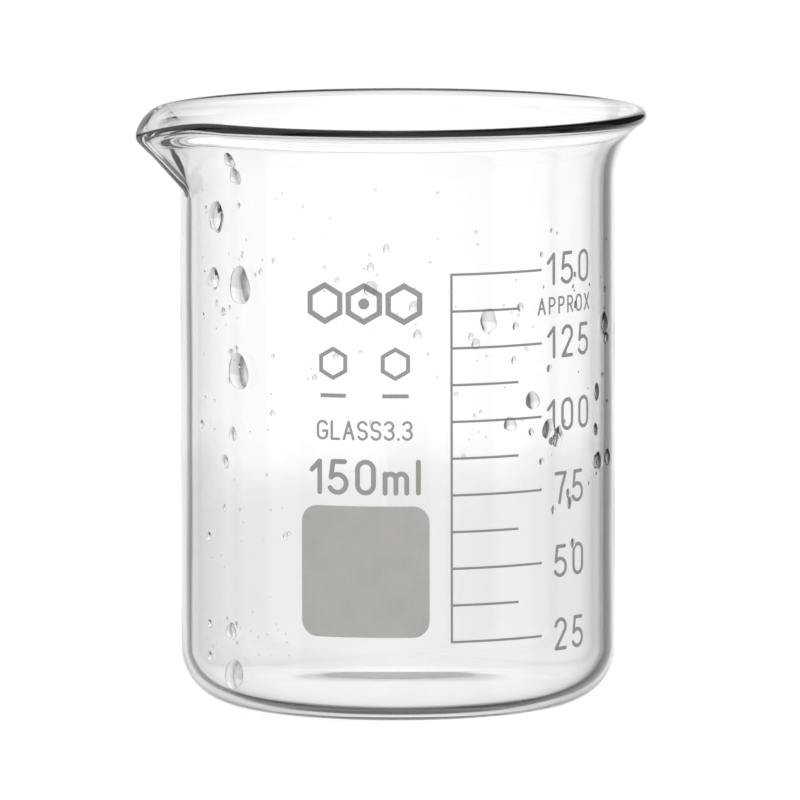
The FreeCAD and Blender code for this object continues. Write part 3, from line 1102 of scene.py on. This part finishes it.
@dataclass
class Water:
    """All the drops on the beaker."""

    seed: int = 11
    large: tuple[Spray, ...] = (
        Spray((-70, -55), (74, 77), 2, (1.6, 4.0)),
        Spray((-78, -60), (6, 70), 15, (1.1, 4.0)),
        Spray((-30, 20), (50, 68), 4, (1.2, 2.4)),
        Spray((8, 34), (34, 58), 12, (0.9, 3.0)),
        Spray((50, 60), (34, 62), 7, (1.3, 2.6)),
        Spray((8, 50), (20, 32), 4, (0.9, 1.8)),
        Spray((150, 180), (40, 60), 3, (1.0, 1.8), Face.INSIDE),
    )
    fine: tuple[Spray, ...] = (
        Spray((-78, -42), (8, 74), 60, (0.25, 0.9)),
        Spray((-40, 0), (46, 74), 14, (0.25, 0.8)),
        Spray((4, 60), (30, 68), 42, (0.25, 0.8)),
        Spray((120, 215), (30, 60), 25, (0.3, 0.9), Face.INSIDE),
        Spray((-84, -44), (9, 13), 14, (0.3, 1.0), Face.INSIDE),
    )

    def build(self) -> None:
        """Make the larger drops and then the small ones."""
        chance = random.Random(self.seed)
        large = [drop for spray in self.large for drop in spray.scatter(chance)]
        fine = [drop for spray in self.fine for drop in spray.scatter(chance)]
        for face in Face:
            name = face.name.lower()
            Drops(f"drops_{name}", [drop for drop in large if drop.face is face]).build()
            Drops(f"spray_{name}", [drop for drop in fine if drop.face is face], rings=4, spokes=14).build()


# =====================================================================================================
# Studio
# =====================================================================================================

@dataclass(frozen=True)
class Light:
    """How bright the studio is in one direction, by the angle round from +X or above the horizon."""

    angle: float
    level: float


@dataclass
class Studio:
    """The plain pale floor, the soft light all round and the camera."""

    camera_azimuth: float = -14.1
    camera_elevation: float = 6.3
    camera_distance: float = 1.8
    camera_roll: float = 0.1
    aim_height: float = 41.6 * MM
    aim_right: float = 0.3 * MM
    lens: float = 586.0
    floor_size: float = 16.0
    floor_gap: float = 0.05 * MM
    floor_tints: tuple[Tint, Tint] = ((0.93, 0.93, 0.93), (0.95, 0.95, 0.95))
    floor_roughness: float = 0.8
    floor_glow: float = 0.35
    round_lights: tuple[Light, ...] = (
        Light(-180, 1.0), Light(-163, 1.0), Light(-158, 0.15), Light(-120, 0.9), Light(-75, 1.0),
        Light(-63, 1.0), Light(-27, 1.0), Light(-22, 0.15), Light(0, 0.5), Light(14, 0.45),
        Light(18, 0.1), Light(52, 0.04),
        Light(58, 0.08), Light(62, 0.8), Light(66, 0.9), Light(71, 1.03), Light(76, 1.08),
        Light(81, 1.03), Light(87, 0.92), Light(97, 0.8), Light(100, 0.2), Light(107, 0.1),
        Light(111, 0.8), Light(135, 1.05), Light(151, 0.8), Light(155, 0.15), Light(158, 0.15),
        Light(162, 1.0), Light(180, 1.0),
    )
    upright_lights: tuple[Light, ...] = (
        Light(-90, 0.3), Light(-60, 0.1), Light(-36, 0.1), Light(-30, 0.9), Light(-10, 1.0),
        Light(-4, 1.0), Light(30, 1.0), Light(60, 1.1), Light(90, 1.2),
    )
    table_edge: tuple[float, float] = (-6.8, -6.35)
    table_level: float = 0.82

    def build(self) -> None:
        """Make the camera, the floor and the light."""
        self.build_camera()
        self.build_floor()
        self.build_world()
        bpy.context.scene.view_settings.view_transform = "Standard"

    def build_camera(self) -> None:
        """The camera, a long way off with a long lens, a little above the rim."""
        turn, rise = math.radians(self.camera_azimuth), math.radians(self.camera_elevation)
        back = Vector((math.sin(turn) * math.cos(rise), -math.cos(turn) * math.cos(rise), math.sin(rise)))
        right = Vector((math.cos(turn), math.sin(turn), 0))
        aim = Vector((0, 0, self.aim_height)) + right * self.aim_right
        data = bpy.data.cameras.new("camera")
        data.lens = self.lens
        data.clip_end = 60.0
        camera = bpy.data.objects.new("camera", data)
        bpy.context.scene.collection.objects.link(camera)
        facing = (-back).to_track_quat("-Z", "Y").to_matrix().to_4x4()
        roll = Matrix.Rotation(math.radians(-self.camera_roll), 4, "Z")
        camera.matrix_world = Matrix.Translation(aim + back * self.camera_distance) @ facing @ roll
        bpy.context.scene.camera = camera

    def build_floor(self) -> None:
        """The pale floor."""
        half = self.floor_size / 2
        mesh = bpy.data.meshes.new("floor")
        mesh.from_pydata([(-half, -half, 0), (half, -half, 0), (half, half, 0), (-half, half, 0)], [],
                         [(0, 1, 2, 3)])
        floor = add_object("floor", mesh, smooth=False)
        floor.location.z = -self.floor_gap
        floor.visible_transmission = False
        material, shader = new_material("pale_floor")
        shade = add_mottle(material, 8.0, 60.0, 0.3, 0.0, 1.0)
        add_tint(material, shader, shade, *self.floor_tints)
        shader.inputs["Roughness"].default_value = self.floor_roughness
        shader.inputs["Emission Color"].default_value = (1, 1, 1, 1)
        shader.inputs["Emission Strength"].default_value = self.floor_glow
        floor.data.materials.append(material)

    def build_world(self) -> None:
        """Soft light all round, with dark gaps beside each bright field."""
        world = bpy.data.worlds.new("studio")
        bpy.context.scene.world = world
        world.use_nodes = True
        nodes, links = world.node_tree.nodes, world.node_tree.links
        background = nodes["Background"]
        coords = nodes.new("ShaderNodeTexCoord")
        parts = nodes.new("ShaderNodeSeparateXYZ")
        links.new(coords.outputs["Generated"], parts.inputs["Vector"])
        bearing = nodes.new("ShaderNodeMath")
        bearing.operation = "ARCTAN2"
        links.new(parts.outputs["Y"], bearing.inputs[0])
        links.new(parts.outputs["X"], bearing.inputs[1])
        height = nodes.new("ShaderNodeMath")
        height.operation = "ARCSINE"
        links.new(parts.outputs["Z"], height.inputs[0])
        round_level = self.add_ramp(world, bearing.outputs[0], math.pi, self.round_lights)
        upright_level = self.add_ramp(world, height.outputs[0], math.pi / 2, self.upright_lights)
        edge = nodes.new("ShaderNodeMapRange")
        edge.interpolation_type = "SMOOTHSTEP"
        edge.inputs["From Min"].default_value = math.radians(self.table_edge[0])
        edge.inputs["From Max"].default_value = math.radians(self.table_edge[1])
        edge.inputs["To Min"].default_value = self.table_level
        links.new(height.outputs[0], edge.inputs["Value"])
        product = edge.outputs["Result"]
        for level in (round_level, upright_level):
            step = nodes.new("ShaderNodeMath")
            step.operation = "MULTIPLY"
            links.new(product, step.inputs[0])
            links.new(level, step.inputs[1])
            product = step.outputs[0]
        path = nodes.new("ShaderNodeLightPath")
        seen = nodes.new("ShaderNodeMix")
        links.new(path.outputs["Is Camera Ray"], seen.inputs["Factor"])
        links.new(product, seen.inputs["A"])
        seen.inputs["B"].default_value = 1.0
        links.new(seen.outputs["Result"], background.inputs["Color"])

    def add_ramp(self, world: bpy.types.World, angle: bpy.types.NodeSocket, limit: float,
                 lights: tuple[Light, ...]) -> bpy.types.NodeSocket:
        """Turn an angle into a brightness by a list of lights.

        Args:
            world: the world that gets the nodes.
            angle: the socket with the angle, in radians.
            limit: the angle's highest value, where its lowest is the same below zero.
            lights: the brightness at each angle, in order.

        Returns:
            The socket with the brightness.
        """
        nodes, links = world.node_tree.nodes, world.node_tree.links
        place = nodes.new("ShaderNodeMapRange")
        place.inputs["From Min"].default_value = -limit
        place.inputs["From Max"].default_value = limit
        links.new(angle, place.inputs["Value"])
        curve = nodes.new("ShaderNodeFloatCurve")
        points = curve.mapping.curves[0].points
        curve.mapping.use_clip = False
        spread = math.degrees(limit)
        ends = [((light.angle + spread) / (2 * spread), light.level) for light in lights]
        points[0].location, points[-1].location = ends[0], ends[-1]
        for end in ends[1:-1]:
            points.new(*end)
        for point in points:
            point.handle_type = "VECTOR"
        curve.mapping.update()
        links.new(place.outputs["Result"], curve.inputs["Value"])
        return curve.outputs["Value"]


def main() -> None:
    """Build the studio, then the beaker's pieces in order."""
    logging.basicConfig(level=logging.INFO, format="%(name)s %(message)s")
    Studio().build()
    Vessel().build()
    Print().build()
    Water().build()


if __name__ == "__main__":
    main()
